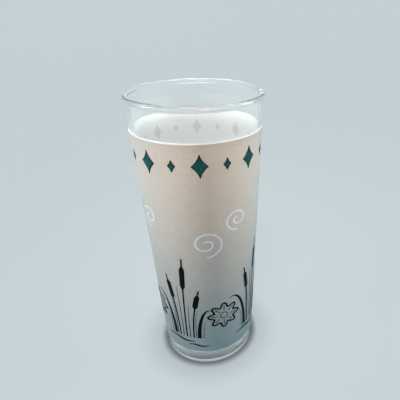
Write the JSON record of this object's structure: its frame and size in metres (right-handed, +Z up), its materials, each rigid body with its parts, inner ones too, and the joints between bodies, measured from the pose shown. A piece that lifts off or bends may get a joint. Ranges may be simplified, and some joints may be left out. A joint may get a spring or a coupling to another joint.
{
  "type": "highball glass",
  "caption": "Tall tapered drinking tumbler with a beaded rim, a thick clear base and a frosted printed wall, for iced mixed drinks.",
  "frame": {"origin": "centre of the foot on the table plane", "axes": "+Z up along the glass's axis; the round wall has no front, and -Y is the side that the picture shows"},
  "size_m": [0.0718, 0.0718, 0.165],
  "materials": {
    "clear_glass": "polished clear soda-lime glass",
    "frosted_enamel": "thin satin white enamel, translucent",
    "green_enamel": "fired dark green enamel, satin",
    "black_enamel": "fired black enamel, satin",
    "white_enamel": "fired bright white enamel, glossy"
  },
  "bodies": {
    "root": {"glass_tumbler": "clear_glass", "frosted_coat": "frosted_enamel", "green_lozenge_01": "green_enamel", "green_lozenge_02": "green_enamel", "green_lozenge_03": "green_enamel", "green_lozenge_04": "green_enamel", "green_lozenge_05": "green_enamel", "green_lozenge_06": "green_enamel", "green_lozenge_07": "green_enamel", "green_lozenge_08": "green_enamel", "green_lozenge_09": "green_enamel", "green_lozenge_10": "green_enamel", "green_lozenge_11": "green_enamel", "green_lozenge_12": "green_enamel", "green_lozenge_13": "green_enamel", "green_lozenge_14": "green_enamel", "green_lozenge_15": "green_enamel", "green_lozenge_16": "green_enamel", "black_bulrush_01": "black_enamel", "black_bulrush_02": "black_enamel", "black_bulrush_03": "black_enamel", "black_bulrush_04": "black_enamel", "black_bulrush_05": "black_enamel", "black_bulrush_06": "black_enamel", "black_bulrush_07": "black_enamel", "black_bulrush_08": "black_enamel", "black_bulrush_09": "black_enamel", "black_bulrush_10": "black_enamel", "black_bulrush_11": "black_enamel", "black_bulrush_12": "black_enamel", "black_blade_01": "black_enamel", "black_blade_02": "black_enamel", "black_blade_03": "black_enamel", "black_blade_04": "black_enamel", "black_blade_05": "black_enamel", "black_blade_06": "black_enamel", "black_blade_07": "black_enamel", "black_blade_08": "black_enamel", "black_ripple_01": "black_enamel", "black_ripple_02": "black_enamel", "black_ripple_03": "black_enamel", "black_ripple_04": "black_enamel", "black_ripple_05": "black_enamel", "black_ripple_06": "black_enamel", "black_ripple_07": "black_enamel", "black_ripple_08": "black_enamel", "white_scroll_01": "white_enamel", "white_scroll_02": "white_enamel", "white_scroll_03": "white_enamel", "white_scroll_04": "white_enamel", "white_scroll_05": "white_enamel", "white_scroll_06": "white_enamel", "white_scroll_07": "white_enamel", "white_scroll_08": "white_enamel", "black_lily_01": "black_enamel", "black_lily_02": "black_enamel", "black_lily_03": "black_enamel", "black_lily_04": "black_enamel"}
  },
  "joints": []
}
